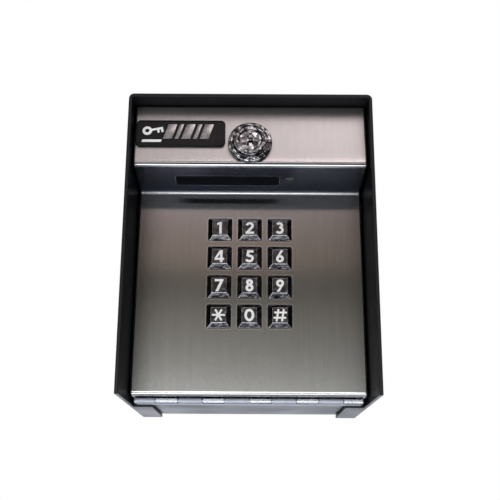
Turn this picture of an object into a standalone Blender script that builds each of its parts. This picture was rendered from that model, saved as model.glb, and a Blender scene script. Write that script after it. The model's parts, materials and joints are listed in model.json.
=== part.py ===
"""Wall-mounted entry keypad: a hooded steel case, a hinged faceplate, twelve keys and a cam lock.

Metres, +Z up. The origin is the centre of the back face, which stands against the wall.
+X is to the right of a person facing the unit, and -Y points from the wall towards that person.
Inside the code a place in the side view is (depth, height): depth behind the case's front edge,
and height above its bottom edge.
"""
import math

import bmesh
import bpy
from mathutils import Matrix, Vector

MM = 0.001
GAP = 0.3 * MM                      # left between pieces that touch on the real unit
WELD = 0.01 * MM                    # merge distance for caps and turned profiles

# Case
CASE_WIDTH = 140 * MM
CASE_HEIGHT = 172 * MM
CASE_DEPTH = 127 * MM
CASE_STEEL = 2 * MM
CASE_CORNER = 3 * MM                # outside radius of the two top bends
TAB_WIDTH = 12.7 * MM               # inward flange under each side wall
TAB_FRONT = 63 * MM                 # depth where the flange begins
FLOOR_LOW = CASE_STEEL + GAP        # the bottom plate rests on the flanges
FLOOR_HIGH = FLOOR_LOW + CASE_STEEL
FLOOR_FRONT = 56 * MM
WALL_SCREW_RADIUS = 3.2 * MM
WALL_SCREWS_X = (-50 * MM, 50 * MM)
WALL_SCREWS_Z = (-56 * MM, 59 * MM)
CABLE_HOLE_RADIUS = 11 * MM
CABLE_HOLE_HEIGHT = 46 * MM
STUD_PLACE = (-44 * MM, 58 * MM)    # ground stud: X, and height above the bottom edge
STUD_RADIUS = 2 * MM
STUD_END = 14 * MM

# Strike: the angle under the roof that the lock's cam turns behind, as depths and heights
STRIKE_FRONT = 25.7 * MM
STRIKE_BACK = 43 * MM
STRIKE_LOW = 158 * MM
STRIKE_HIGH = 169.7 * MM
STRIKE_WIDTH = 24 * MM

# Faceplate: the outside corners of its bent profile, as (depth, height)
DOOR_WIDTH = 134.2 * MM
DOOR_STEEL = 1.5 * MM
DOOR_TOP = (11.1 * MM, 169.7 * MM)
DOOR_LIP = (7.0 * MM, 130.5 * MM)
DOOR_INNER = (42.0 * MM, 126.6 * MM)
DOOR_BOTTOM = (37.3 * MM, 3.7 * MM)
DOOR_FLANGE = 9 * MM                # how far the side and top flanges run back
DOOR_BOTTOM_FLANGE = 14.7 * MM
DOOR_SIDE_BEND = 1.3 * MM
DOOR_FOLD = 2.6 * MM                # outside radius of the cross bends
DOOR_TOP_FOLD = 1.9 * MM
FOLD_STEPS = 6                      # facets across each bend

# Piano hinge
HINGE_DEPTH = 46 * MM
HINGE_HEIGHT = 1.7 * MM
HINGE_RADIUS = 1.6 * MM
HINGE_BORE = 1.0 * MM
PIN_RADIUS = 0.65 * MM
HINGE_LENGTH = 131 * MM
KNUCKLE_PITCH = 13.4 * MM
KNUCKLE_PLAY = 0.32 * MM
KNUCKLE_SIDES = 32
STAKE_X = -61.5 * MM                # the dimple that keeps the pin from sliding out
STAKE_RADIUS = 0.5 * MM
LEAF_STEEL = 0.9 * MM
CASE_LEAF_LOW = 1.1 * MM            # height of each leaf's lower face
DOOR_LEAF_LOW = 2.4 * MM
CASE_LEAF_BACK = 62 * MM            # depth of each leaf's back edge
DOOR_LEAF_BACK = 52 * MM

# Keys
KEY_PITCH = 17.8 * MM
KEY_ROWS_HEIGHT = 76.2 * MM         # middle of the key field
KEY_HOLE = 14.6 * MM
KEY_HOLE_CORNER = 1.2 * MM
KEY_SIZE = 14.0 * MM
KEY_CORNER = 1.0 * MM
KEY_TOP = 9.2 * MM
KEY_RISE = 3.5 * MM                 # top of a key above the faceplate
KEY_SHOULDER = 0.7 * MM             # where its slopes begin
KEY_RIM = 16 * MM
KEY_RIM_FACE = -1.8 * MM            # the rim's front, stopped by the faceplate's back
KEY_BACK = -3.0 * MM
KEY_TRAVEL = 1.2 * MM
KEY_NAMES = (("key_1", "key_2", "key_3"), ("key_4", "key_5", "key_6"),
             ("key_7", "key_8", "key_9"), ("key_star", "key_0", "key_hash"))

# Layers behind the keypad panel: their front and back faces along its normal
KEY_FIELD = (3 * KEY_PITCH + 4 * MM, 4 * KEY_PITCH + 4 * MM)
GUIDE_LAYER = (-1.8 * MM, -6.0 * MM)
MEMBRANE_LAYER = (-6.3 * MM, -7.3 * MM)
KEY_BOARD_LAYER = (-7.6 * MM, -9.2 * MM)
BOARD_LAYER = (-19.0 * MM, -20.6 * MM)
BOARD_SIZE = (92 * MM, 94 * MM)
BOARD_SCREWS = [(x, y) for x in (-41 * MM, 41 * MM) for y in (-45 * MM, 39 * MM)]
TERMINAL_PITCH = 5.08 * MM
TERMINALS = 6
TERMINAL_LEFT = -34 * MM
TERMINAL_LOW = -46 * MM
TERMINAL_SIZE = (11 * MM, 10.2 * MM)     # up the board, and off it
RELAY_SIZE = (19 * MM, 15.5 * MM, 15.2 * MM)
RELAY_CENTRE = (24 * MM, -35 * MM)

# Lock: along its axis, 0 is the faceplate's outside
LOCK_HEIGHT = 144.6 * MM
LOCK_FLANGE = 12.7 * MM             # radii
LOCK_RING = 9.5 * MM
LOCK_BODY = 9.5 * MM
PLUG_RADIUS = 6.6 * MM
PLUG_FACE = 4.4 * MM
LOCK_BACK = -17.5 * MM              # back of the housing
TANG_BACK = -21.2 * MM
NUT_ACROSS_FLATS = 22.2 * MM
CAM_LENGTH = 23 * MM
CAM_WIDTH = 14 * MM
CAM_STEEL = 2 * MM

# Badge and lamp
BADGE_SIZE = (51.8 * MM, 16.6 * MM)
BADGE_CENTRE = (-40.3 * MM, 6.0 * MM)
BADGE_RISE = 1.8 * MM
SLOT_SIZE = (60.9 * MM, 11.3 * MM)
SLOT_X = -13.35 * MM
SLOT_DEPTH = 25.85 * MM
LED_X = 23.3 * MM
LED_AHEAD = 1.2 * MM                # of the slot's middle
LED_HOLE = 3 * MM

PALETTE = {
    # name: colour, metallic, roughness
    "powder_black": ((0.016, 0.016, 0.018), 0.0, 0.42),
    "brushed_stainless": ((0.56, 0.53, 0.51), 1.0, 0.32),
    "zinc_steel": ((0.55, 0.57, 0.60), 1.0, 0.30),
    "chrome": ((0.62, 0.62, 0.64), 1.0, 0.08),
    "dark_chrome": ((0.10, 0.10, 0.11), 1.0, 0.16),
    "black_plastic": ((0.02, 0.02, 0.02), 0.0, 0.45),
    "smoked_lens": ((0.03, 0.03, 0.03), 0.0, 0.15),
    "grey_rubber": ((0.16, 0.16, 0.17), 0.0, 0.75),
    "board_green": ((0.02, 0.14, 0.06), 0.0, 0.45),
    "terminal_green": ((0.03, 0.30, 0.10), 0.0, 0.50),
    "cable_grey": ((0.30, 0.31, 0.33), 0.0, 0.60),
}


def place(depth, height):
    """World Y and Z of a place in the side view."""
    return depth - CASE_DEPTH, height - CASE_HEIGHT / 2


def tilted_frame(depth, height, from_point, to_point):
    """A frame on a flat face: local X is world X, local Y runs from one point to the other, Z is outward."""
    run = to_point[0] - from_point[0]
    rise = to_point[1] - from_point[1]
    return Matrix.Translation((0, *place(depth, height))) @ Matrix.Rotation(math.atan2(rise, run), 4, "X")


def along(start, end, height=None, depth=None):
    """The place on the line from start to end at a given height or depth."""
    if height is not None:
        share = (height - start[1]) / (end[1] - start[1])
    else:
        share = (depth - start[0]) / (end[0] - start[0])
    return start[0] + share * (end[0] - start[0]), start[1] + share * (end[1] - start[1])


WORLD = Matrix.Identity(4)
FRONT_VIEW = Matrix.Rotation(math.radians(90), 4, "X")      # local X, Y, Z are world X, Z, -Y
SIDE_VIEW = Matrix.Rotation(math.radians(90), 4, "Z") @ FRONT_VIEW   # ... are world Y, Z, X
KEYPAD = tilted_frame(*along(DOOR_BOTTOM, DOOR_INNER, height=KEY_ROWS_HEIGHT), DOOR_BOTTOM, DOOR_INNER)
LOCK = tilted_frame(*along(DOOR_LIP, DOOR_TOP, height=LOCK_HEIGHT), DOOR_LIP, DOOR_TOP)
SOFFIT = tilted_frame(*along(DOOR_LIP, DOOR_INNER, depth=SLOT_DEPTH), DOOR_INNER, DOOR_LIP)
HINGE = Matrix.Translation((0, *place(HINGE_DEPTH, HINGE_HEIGHT)))


# ---------------------------------------------------------------- modelling tools

def clear_scene():
    for obj in list(bpy.data.objects):
        bpy.data.objects.remove(obj, do_unlink=True)


def new_collection(name):
    collection = bpy.data.collections.new(name)
    bpy.context.scene.collection.children.link(collection)
    return collection


def new_material(name):
    colour, metallic, roughness = PALETTE[name]
    material = bpy.data.materials.new(name)
    material.use_nodes = True
    shader = material.node_tree.nodes["Principled BSDF"]
    shader.inputs["Base Color"].default_value = (*colour, 1)
    shader.inputs["Metallic"].default_value = metallic
    shader.inputs["Roughness"].default_value = roughness
    material.diffuse_color = (*colour, 1)
    return material


def add_mesh(name, mesh, frame, material=None):
    """A new object: a part when it has a material, and otherwise a cutter."""
    obj = bpy.data.objects.new(name, mesh)
    obj.matrix_world = frame
    if material is None:
        cutters.objects.link(obj)
        obj.hide_render = True
        obj.display_type = "WIRE"
    else:
        parts.objects.link(obj)
        mesh.materials.append(materials[material])
        mesh.shade_smooth()
        mesh.set_sharp_from_angle(angle=math.radians(35))
    return obj


def from_bmesh(name, bm, frame, material=None):
    mesh = bpy.data.meshes.new(name)
    bm.to_mesh(mesh)
    bm.free()
    return add_mesh(name, mesh, frame, material)


def box(name, low, high, frame=WORLD, material=None):
    low, high = Vector(low), Vector(high)
    bm = bmesh.new()
    at = Matrix.Translation((low + high) / 2) @ Matrix.Diagonal((*(high - low), 1))
    bmesh.ops.create_cube(bm, size=1, matrix=at)
    return from_bmesh(name, bm, frame, material)


def cylinder(name, radius, low, high, frame=WORLD, material=None, centre=(0, 0), segments=32):
    """A cylinder or regular prism along the frame's Z."""
    bm = bmesh.new()
    at = Matrix.Translation((*centre, (low + high) / 2))
    bmesh.ops.create_cone(bm, cap_ends=True, segments=segments, radius1=radius, radius2=radius,
                          depth=high - low, matrix=at)
    return from_bmesh(name, bm, frame, material)


def turned(name, profile, frame, material=None, closed=False, steps=32):
    """A shape turned about the frame's Z. The profile of (radius, z) runs down its outer side."""
    bm = bmesh.new()
    points = [bm.verts.new((radius, 0, z)) for radius, z in profile]
    for first, second in zip(points, points[1:] + points[:1] * closed):
        bm.edges.new((first, second))
    obj = from_bmesh(name, bm, frame, material)
    screw = obj.modifiers.new("turn", "SCREW")
    screw.steps = steps
    screw.render_steps = steps
    screw.use_merge_vertices = True
    screw.merge_threshold = WELD
    return obj


def rounded(corners, steps=4):
    """The points of a closed outline whose corners, (a, b, radius), are rounded by arcs."""
    points = []
    for i, (a, b, radius) in enumerate(corners):
        corner = Vector((a, b))
        if radius == 0:
            points.append(corner)
            continue
        before = (Vector(corners[i - 1][:2]) - corner).normalized()
        after = (Vector(corners[(i + 1) % len(corners)][:2]) - corner).normalized()
        half = before.angle(after) / 2
        centre = corner + (before + after).normalized() * (radius / math.sin(half))
        start = corner + before * (radius / math.tan(half)) - centre
        end = corner + after * (radius / math.tan(half)) - centre
        first = math.atan2(start.y, start.x)
        turn = math.remainder(math.atan2(end.y, end.x) - first, math.tau)
        for step in range(steps + 1):
            angle = first + turn * step / steps
            points.append(centre + radius * Vector((math.cos(angle), math.sin(angle))))
    return points


def rectangle(width, height, radius, centre=(0, 0)):
    x, y = width / 2, height / 2
    return [(centre[0] + a * x, centre[1] + b * y, radius) for a, b in ((-1, -1), (1, -1), (1, 1), (-1, 1))]


def outline(name, corners, low, high, frame=WORLD, material=None, edge=0, steps=4):
    """A flat outline with a thickness along the frame's Z, and rounded edges where edge is a radius."""
    curve = bpy.data.curves.new(name, "CURVE")
    curve.dimensions = "2D"
    curve.fill_mode = "BOTH"
    curve.extrude = (high - low) / 2 - edge
    curve.bevel_depth = edge
    curve.bevel_resolution = 2
    curve.offset = -edge
    points = rounded(corners, steps)
    spline = curve.splines.new("POLY")
    spline.points.add(len(points) - 1)
    for point, (a, b) in zip(spline.points, points):
        point.co = (a, b, 0, 1)
    spline.use_cyclic_u = True
    mesh = mesh_of_curve(name, curve)
    mesh.transform(Matrix.Translation((0, 0, (low + high) / 2)))
    return add_mesh(name, mesh, frame, material)


def mesh_of_curve(name, curve):
    """The closed mesh that a curve evaluates to, with its caps welded on."""
    drawn = bpy.data.objects.new(name + "_curve", curve)
    cutters.objects.link(drawn)
    evaluated = drawn.evaluated_get(bpy.context.evaluated_depsgraph_get())
    mesh = bpy.data.meshes.new_from_object(evaluated)
    mesh.name = name
    bm = bmesh.new()
    bm.from_mesh(mesh)
    bmesh.ops.remove_doubles(bm, verts=bm.verts, dist=WELD)
    bm.to_mesh(mesh)
    bm.free()
    bpy.data.objects.remove(drawn, do_unlink=True)
    return mesh


def boolean(obj, other, operation):
    modifier = obj.modifiers.new(other.name, "BOOLEAN")
    modifier.operation = operation
    modifier.object = other
    modifier.solver = "EXACT"


def cut(obj, *others):
    for other in others:
        boolean(obj, other, "DIFFERENCE")


def join(obj, *others):
    for other in others:
        boolean(obj, other, "UNION")


def pivot(name, frame):
    """An empty on a joint's axis, which carries the pieces that turn about it."""
    empty = bpy.data.objects.new(name, None)
    parts.objects.link(empty)
    empty.matrix_world = frame
    empty.empty_display_size = 10 * MM
    return empty


def carry(parent, *children):
    for child in children:
        child.parent = parent
        child.matrix_parent_inverse = parent.matrix_world.inverted()


# ---------------------------------------------------------------- case

def case_shell():
    """The bent wrap: top and two sides, with an inward tab under the back half of each side."""
    x, z, t = CASE_WIDTH / 2, CASE_HEIGHT / 2, CASE_STEEL
    inner = CASE_CORNER - t
    corners = [(-x, -z, 0), (-x, z, CASE_CORNER), (x, z, CASE_CORNER), (x, -z, 0),
               (x - t, -z, 0), (x - t, z - t, inner), (t - x, z - t, inner), (t - x, -z, 0)]
    shell = outline("case_shell", corners, 0, CASE_DEPTH, FRONT_VIEW, "powder_black", steps=5)
    front = TAB_FRONT - CASE_DEPTH
    for side in (-1, 1):
        ends = sorted((side * (x - t / 2), side * (x - TAB_WIDTH)))
        tab = box(f"tab_{side}", (ends[0], front, -z), (ends[1], 0, t - z))
        join(shell, tab)


def case_back():
    """The back panel, with four screw holes for the wall and a larger one for the cable."""
    x = CASE_WIDTH / 2 - CASE_STEEL - GAP
    low = place(0, FLOOR_HIGH + GAP)[1]
    high = CASE_HEIGHT / 2 - CASE_STEEL - GAP
    corners = [(-x, low, 0), (x, low, 0), (x, high, CASE_CORNER), (-x, high, CASE_CORNER)]
    back = outline("case_back", corners, 0, CASE_STEEL, FRONT_VIEW, "powder_black", steps=3)
    low, high = -MM, CASE_STEEL + MM
    for a in WALL_SCREWS_X:
        for b in WALL_SCREWS_Z:
            cut(back, cylinder("wall_screw_hole", WALL_SCREW_RADIUS, low, high, FRONT_VIEW,
                               centre=(a, b), segments=20))
    cable_place = (0, place(0, CABLE_HOLE_HEIGHT)[1])
    cut(back, cylinder("cable_hole", CABLE_HOLE_RADIUS, low, high, FRONT_VIEW, centre=cable_place))


def bottom_plate():
    """The floor of the case, which rests on the tabs and carries the hinge."""
    x = CASE_WIDTH / 2 - CASE_STEEL - GAP
    box("bottom_plate", (-x, *place(FLOOR_FRONT, FLOOR_LOW)), (x, *place(CASE_DEPTH, FLOOR_HIGH)),
        material="powder_black")


def cable_grommet():
    """A snap-in bush that lines the cable hole and stays flush with the wall."""
    bore, neck, flange = 7 * MM, CABLE_HOLE_RADIUS - GAP, CABLE_HOLE_RADIUS + 2 * MM
    shoulder = CASE_STEEL + GAP
    profile = [(bore, 4.4 * MM), (flange, 4.4 * MM), (flange, shoulder), (neck, shoulder),
               (neck, GAP), (bore, GAP)]
    frame = FRONT_VIEW @ Matrix.Translation((0, place(0, CABLE_HOLE_HEIGHT)[1], 0))
    turned("cable_grommet", profile, frame, "grey_rubber", closed=True, steps=32)


def ground_terminal():
    """A welded stud inside the back panel, with a nut on it."""
    x, height = STUD_PLACE
    frame = FRONT_VIEW @ Matrix.Translation((x, place(0, height)[1], 0))
    foot, chamfer = CASE_STEEL + GAP, 0.4 * MM
    profile = [(0, STUD_END), (STUD_RADIUS - chamfer, STUD_END), (STUD_RADIUS, STUD_END - chamfer),
               (STUD_RADIUS, foot + 0.8 * MM), (STUD_RADIUS + 1.2 * MM, foot), (0, foot)]
    turned("ground_stud", profile, frame, "zinc_steel", steps=16)
    nut = cylinder("ground_nut", 4 * MM, 6 * MM, 9 * MM, frame, "zinc_steel", segments=6)
    cut(nut, cylinder("ground_nut_bore", STUD_RADIUS + GAP, 5 * MM, 10 * MM, frame, segments=16))


def lock_strike():
    """The angle under the roof whose lip the cam turns behind."""
    front, back, low, high, t = STRIKE_FRONT, STRIKE_BACK, STRIKE_LOW, STRIKE_HIGH, CASE_STEEL
    side = [(front, low), (front + t, low), (front + t, high - t),
            (back, high - t), (back, high), (front, high)]
    corners = [(*place(a, b), 0) for a, b in side]
    outline("lock_strike", corners, -STRIKE_WIDTH / 2, STRIKE_WIDTH / 2, SIDE_VIEW, "zinc_steel")


# ---------------------------------------------------------------- piano hinge

def knuckles():
    """Where each knuckle starts and ends along X, from left to right."""
    half = HINGE_LENGTH / 2
    joints = [n * KNUCKLE_PITCH for n in range(-4, 5)]
    return list(zip([-half] + joints, joints + [half]))


def hinge_leaf(name, first, low, back, material):
    """Every second knuckle with its leaf, which is notched around the other leaf's knuckles."""
    high, half = low + LEAF_STEEL, HINGE_LENGTH / 2
    leaf = box(name, (-half, *place(HINGE_DEPTH + HINGE_BORE, low)), (half, *place(back, high)),
               material=material)
    axis = HINGE @ Matrix.Rotation(math.radians(90), 4, "Y")
    for number, (start, end) in enumerate(knuckles()):
        if number % 2 == first:
            join(leaf, cylinder(f"{name}_knuckle_{number}", HINGE_RADIUS, start + KNUCKLE_PLAY,
                                end - KNUCKLE_PLAY, axis, segments=KNUCKLE_SIDES))
        else:
            behind = HINGE_DEPTH + HINGE_RADIUS + 0.5 * MM
            cut(leaf, box(f"{name}_notch_{number}", (start - KNUCKLE_PLAY, *place(HINGE_DEPTH, low - MM)),
                          (end + KNUCKLE_PLAY, *place(behind, high + MM))))
    cut(leaf, cylinder(f"{name}_bore", HINGE_BORE, -half - MM, half + MM, axis, segments=16))
    return leaf


def hinge_stake():
    """A cutter for the punched dimple in the front of the first knuckle."""
    toward_front = HINGE @ Matrix.Translation((STAKE_X, 0, 0)) @ Matrix.Rotation(math.radians(100), 4, "X")
    return cylinder("hinge_stake", STAKE_RADIUS, HINGE_RADIUS - 0.35 * MM, HINGE_RADIUS + MM, toward_front,
                    segments=12)


def hinge_pin():
    axis = HINGE @ Matrix.Rotation(math.radians(90), 4, "Y")
    half = HINGE_LENGTH / 2 - 0.4 * MM
    cylinder("hinge_pin", PIN_RADIUS, -half, half, axis, "zinc_steel", segments=16)


# ---------------------------------------------------------------- faceplate

def faceplate_side(thickness=0):
    """The side view of the faceplate's outside, or of its inside when thickness is given."""
    top, lip, inner, bottom = (Vector(p) for p in (DOOR_TOP, DOOR_LIP, DOOR_INNER, DOOR_BOTTOM))
    upper, soffit, lower = (lip - top).normalized(), (inner - lip).normalized(), (bottom - inner).normalized()

    def inward(direction):
        return Vector((-direction.y, direction.x))

    def meet(point, direction, other, other_direction):
        across = inward(other_direction)
        return point + direction * ((other - point).dot(across) / direction.dot(across))

    shift = thickness
    roof, floor = Vector((1, 0)), Vector((1, 0))
    a = meet(top - Vector((0, shift)), roof, top + inward(upper) * shift, upper)
    b = meet(top + inward(upper) * shift, upper, lip + inward(soffit) * shift, soffit)
    c = meet(lip + inward(soffit) * shift, soffit, bottom + inward(lower) * shift, lower)
    d = meet(bottom + inward(lower) * shift, lower, bottom + Vector((0, shift)), floor)
    return a, b, c, d


def bent_section(thickness):
    """The corners of the faceplate's outside or inside section, open to a point far behind it."""
    a, b, c, d = faceplate_side(thickness)
    far = 70 * MM
    top, fold = DOOR_TOP_FOLD - thickness, DOOR_FOLD - thickness
    inner_fold = DOOR_FOLD - DOOR_STEEL + thickness      # this corner is bent the other way
    return [(*place(*a), top), (*place(*b), fold), (*place(*c), inner_fold),
            (*place(*d), fold), (*place(far, d.y), 0), (*place(far, a.y), 0)]


def faceplate():
    """The bent sheet: upper panel, soffit and keypad panel, with flanges along its edges."""
    half, bend, t = DOOR_WIDTH / 2, DOOR_SIDE_BEND, DOOR_STEEL
    inner_half, through = half - t, 4 * MM
    panel = outline("door_panel", bent_section(0), -half, half, SIDE_VIEW, "brushed_stainless",
                    edge=bend, steps=FOLD_STEPS)
    cut(panel, outline("door_inside", bent_section(t), -inner_half, inner_half, SIDE_VIEW, steps=FOLD_STEPS))
    cut(panel, outline("door_back_trim", faceplate_trim(), -half - MM, half + MM, SIDE_VIEW))
    cut(panel, cylinder("lock_hole", LOCK_BODY + GAP, -through, through, LOCK, segments=48))
    cut(panel, outline("lamp_slot", rectangle(*SLOT_SIZE, 0.8 * MM, (SLOT_X, 0)), -through, through,
                       SOFFIT, steps=2))
    cut(panel, cylinder("led_hole", LED_HOLE, -through, through, SOFFIT, centre=(LED_X, LED_AHEAD),
                        segments=20))
    for _, x, y in key_places():
        hole = rectangle(KEY_HOLE, KEY_HOLE, KEY_HOLE_CORNER, (x, y))
        cut(panel, outline("key_hole", hole, -through, through, KEYPAD, steps=2))
    return panel


def faceplate_trim():
    """What lies behind the free edges of the flanges."""
    top, lip, inner, bottom = (Vector(p) for p in (DOOR_TOP, DOOR_LIP, DOOR_INNER, DOOR_BOTTOM))
    back = Vector((DOOR_FLANGE, 0))
    above = Vector((0, DOOR_FLANGE))
    far, over, under = 75 * MM, CASE_HEIGHT, -3 * MM
    flange_end = bottom.x + DOOR_BOTTOM_FLANGE
    upper = (lip - top).normalized()
    knee = top + back + upper * ((top.y - lip.y - above.y) / -upper.y)
    side = [(top.x + back.x, over), tuple(top + back), tuple(knee), tuple(inner + back + above),
            tuple(bottom + back + Vector((0, 6 * MM))), (flange_end, bottom.y + 2.5 * MM),
            (flange_end, under), (far, under), (far, over)]
    return [(*place(a, b), 0) for a, b in side]


def badge():
    """A blank raised plate with rounded corners, left of the lock."""
    corners = rectangle(*BADGE_SIZE, 2.8 * MM, BADGE_CENTRE)
    return outline("badge", corners, GAP, BADGE_RISE, LOCK, "black_plastic", edge=0.4 * MM)


def lamp():
    """The window in the soffit, the small indicator beside it and the board that lights both."""
    width, depth = SLOT_SIZE
    rim, rim_front, rim_back = 1.5 * MM, -1.8 * MM, -2.3 * MM
    lens = outline("light_lens", rectangle(width - 2 * GAP, depth - 2 * GAP, 0.6 * MM, (SLOT_X, 0)),
                   -2.0 * MM, -0.3 * MM, SOFFIT, "smoked_lens", steps=2)
    join(lens, box("lens_rim", (SLOT_X - width / 2 - rim, -depth / 2 - rim, rim_back),
                   (SLOT_X + width / 2 + rim, depth / 2 + rim, rim_front), SOFFIT))
    board = box("lamp_board", (-47 * MM, -8 * MM, -3.4 * MM), (31 * MM, 8 * MM, -2.6 * MM), SOFFIT,
                "board_green")
    stem = LED_HOLE - GAP
    profile = [(0, -0.2 * MM), (stem - 1.1 * MM, -0.35 * MM), (stem - 0.1 * MM, -1.0 * MM), (stem, rim_front),
               (stem + 0.9 * MM, rim_front), (stem + 0.9 * MM, rim_back), (0, rim_back)]
    led_frame = SOFFIT @ Matrix.Translation((LED_X, LED_AHEAD, 0))
    led = turned("status_led", profile, led_frame, "smoked_lens", steps=20)
    return lens, board, led


# ---------------------------------------------------------------- keypad

def key_places():
    """Each key's name and its centre on the keypad panel."""
    for row, names in enumerate(KEY_NAMES):
        for column, name in enumerate(names):
            yield name, (column - 1) * KEY_PITCH, (1.5 - row) * KEY_PITCH


def key(name, x, y):
    """A cap with a retaining rim below and a pyramid with a flat top above."""
    levels = [  # size, corner radius, height above the faceplate
        (KEY_RIM, 1.2 * MM, KEY_BACK), (KEY_RIM, 1.2 * MM, KEY_RIM_FACE), (KEY_SIZE, KEY_CORNER, KEY_RIM_FACE),
        (KEY_SIZE, KEY_CORNER, KEY_SHOULDER), (KEY_TOP, 0.7 * MM, KEY_RISE - 0.2 * MM),
        (KEY_TOP - 0.6 * MM, 0.5 * MM, KEY_RISE)]
    bm = bmesh.new()
    rings = []
    for size, radius, height in levels:
        points = rounded(rectangle(size, size, radius), steps=2)
        rings.append([bm.verts.new((*point, height)) for point in points])
    bm.faces.new(reversed(rings[0]))
    bm.faces.new(rings[-1])
    for lower, upper in zip(rings, rings[1:]):
        for i in range(len(lower)):
            bm.faces.new((lower[i - 1], lower[i], upper[i], upper[i - 1]))
    frame = KEYPAD @ Matrix.Translation((x, y, 0))
    return from_bmesh(name, bm, frame, "dark_chrome")


def keypad_guide():
    """The moulded grid behind the faceplate that the keys' rims slide in."""
    front, back = GUIDE_LAYER
    guide = outline("keypad_guide", rectangle(*KEY_FIELD, 2 * MM), back, front, KEYPAD, "black_plastic",
                    steps=2)
    well = KEY_RIM + 0.8 * MM
    for _, x, y in key_places():
        cut(guide, outline("guide_well", rectangle(well, well, 1.4 * MM, (x, y)), back - MM, front + MM,
                           KEYPAD, steps=1))
    return guide


def key_membrane():
    """The silicone sheet, with its domes at their pressed height so that a key never cuts into one."""
    front, back = MEMBRANE_LAYER
    sheet = outline("key_membrane", rectangle(*KEY_FIELD, 2 * MM), back, front, KEYPAD, "grey_rubber",
                    steps=2)
    low, high = front - GAP, KEY_BACK - KEY_TRAVEL - GAP
    for _, x, y in key_places():
        bm = bmesh.new()
        at = Matrix.Translation((x, y, (low + high) / 2))
        bmesh.ops.create_cone(bm, cap_ends=True, segments=16, radius1=4.4 * MM, radius2=3 * MM,
                              depth=high - low, matrix=at)
        join(sheet, from_bmesh("dome", bm, KEYPAD))
    return sheet


def keypad_board():
    front, back = KEY_BOARD_LAYER
    width, height = KEY_FIELD
    corners = rectangle(width + 2 * MM, height + 4 * MM, 1 * MM)
    return outline("keypad_pcb", corners, back, front, KEYPAD, "board_green", steps=2)


# ---------------------------------------------------------------- electronics on the door

def control_board():
    front, back = BOARD_LAYER
    corners = rectangle(*BOARD_SIZE, 2 * MM, (0, -3 * MM))
    board = outline("control_board", corners, back, front, KEYPAD, "board_green", steps=2)
    for centre in BOARD_SCREWS:
        cut(board, cylinder("board_hole", 1.7 * MM, back - MM, front + MM, KEYPAD, centre=centre, segments=16))
    return board


def board_fixings():
    """Four hexagonal spacers welded to the faceplate, and the screws that hold the board on them."""
    made = []
    front, back, head = -DOOR_STEEL - GAP, BOARD_LAYER[0] + GAP, BOARD_LAYER[1] - GAP
    shank, thread_end = 1.4 * MM, back + 5 * MM
    profile = [(0, thread_end), (shank, thread_end), (shank, head), (2 * shank, head),
               (2 * shank, head - 1.2 * MM), (1.9 * MM, head - 1.9 * MM), (0, head - 2.0 * MM)]
    for number, (x, y) in enumerate(BOARD_SCREWS, start=1):
        spacer = cylinder(f"board_spacer_{number}", 3 * MM, back, front, KEYPAD, "zinc_steel",
                          centre=(x, y), segments=6)
        cut(spacer, cylinder("spacer_bore", 1.8 * MM, back - MM, back + 8 * MM, KEYPAD,
                             centre=(x, y), segments=16))
        frame = KEYPAD @ Matrix.Translation((x, y, 0))
        made += [spacer, turned(f"board_screw_{number}", profile, frame, "zinc_steel", steps=16)]
    return made


def terminal_block():
    """Six wire terminals with an entry below and a screw well behind each."""
    left, low = TERMINAL_LEFT, TERMINAL_LOW
    run, rise = TERMINAL_SIZE
    front = BOARD_LAYER[1] - GAP
    back, radius = front - rise, 1.7 * MM
    block = box("terminal_block", (left, low, back), (left + TERMINALS * TERMINAL_PITCH, low + run, front),
                KEYPAD, "terminal_green")
    for n in range(TERMINALS):
        x = left + (n + 0.5) * TERMINAL_PITCH
        cut(block, box("wire_entry", (x - radius, low - MM, front - 5.5 * MM),
                       (x + radius, low + 5 * MM, front - 1.8 * MM), KEYPAD))
        cut(block, cylinder("screw_well", radius, back - MM, back + 3.5 * MM, KEYPAD,
                            centre=(x, low + 7 * MM), segments=12))
    return block


def relay():
    """A sealed relay in a block-shaped case with eased edges."""
    width, length, rise = RELAY_SIZE
    front = BOARD_LAYER[1] - GAP
    return outline("relay", rectangle(width, length, 1 * MM, RELAY_CENTRE), front - rise, front, KEYPAD,
                   "black_plastic", edge=0.6 * MM, steps=2)


def ribbon_cable():
    """The flat cable that folds from the key board's back to the control board's front."""
    front, back = KEY_BOARD_LAYER[1] - GAP, BOARD_LAYER[0] + GAP
    radius, thickness = (front - back) / 2, 0.6 * MM
    start, straight, middle = 30 * MM, 36 * MM, (front + back) / 2
    steps = 8
    arc = [math.pi / 2 - math.pi * n / steps for n in range(steps + 1)]
    outer = [(straight + radius * math.cos(a), middle + radius * math.sin(a)) for a in arc]
    inner = [(straight + (radius - thickness) * math.cos(a), middle + (radius - thickness) * math.sin(a))
             for a in reversed(arc)]
    side = [(start, front), *outer, (start, back),
            (start, back + thickness), *inner, (start, front - thickness)]
    frame = KEYPAD @ Matrix.Rotation(math.radians(90), 4, "Z") @ Matrix.Rotation(math.radians(90), 4, "X")
    return outline("ribbon_cable", [(a, b, 0) for a, b in side], -12 * MM, 12 * MM, frame, "cable_grey")


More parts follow.
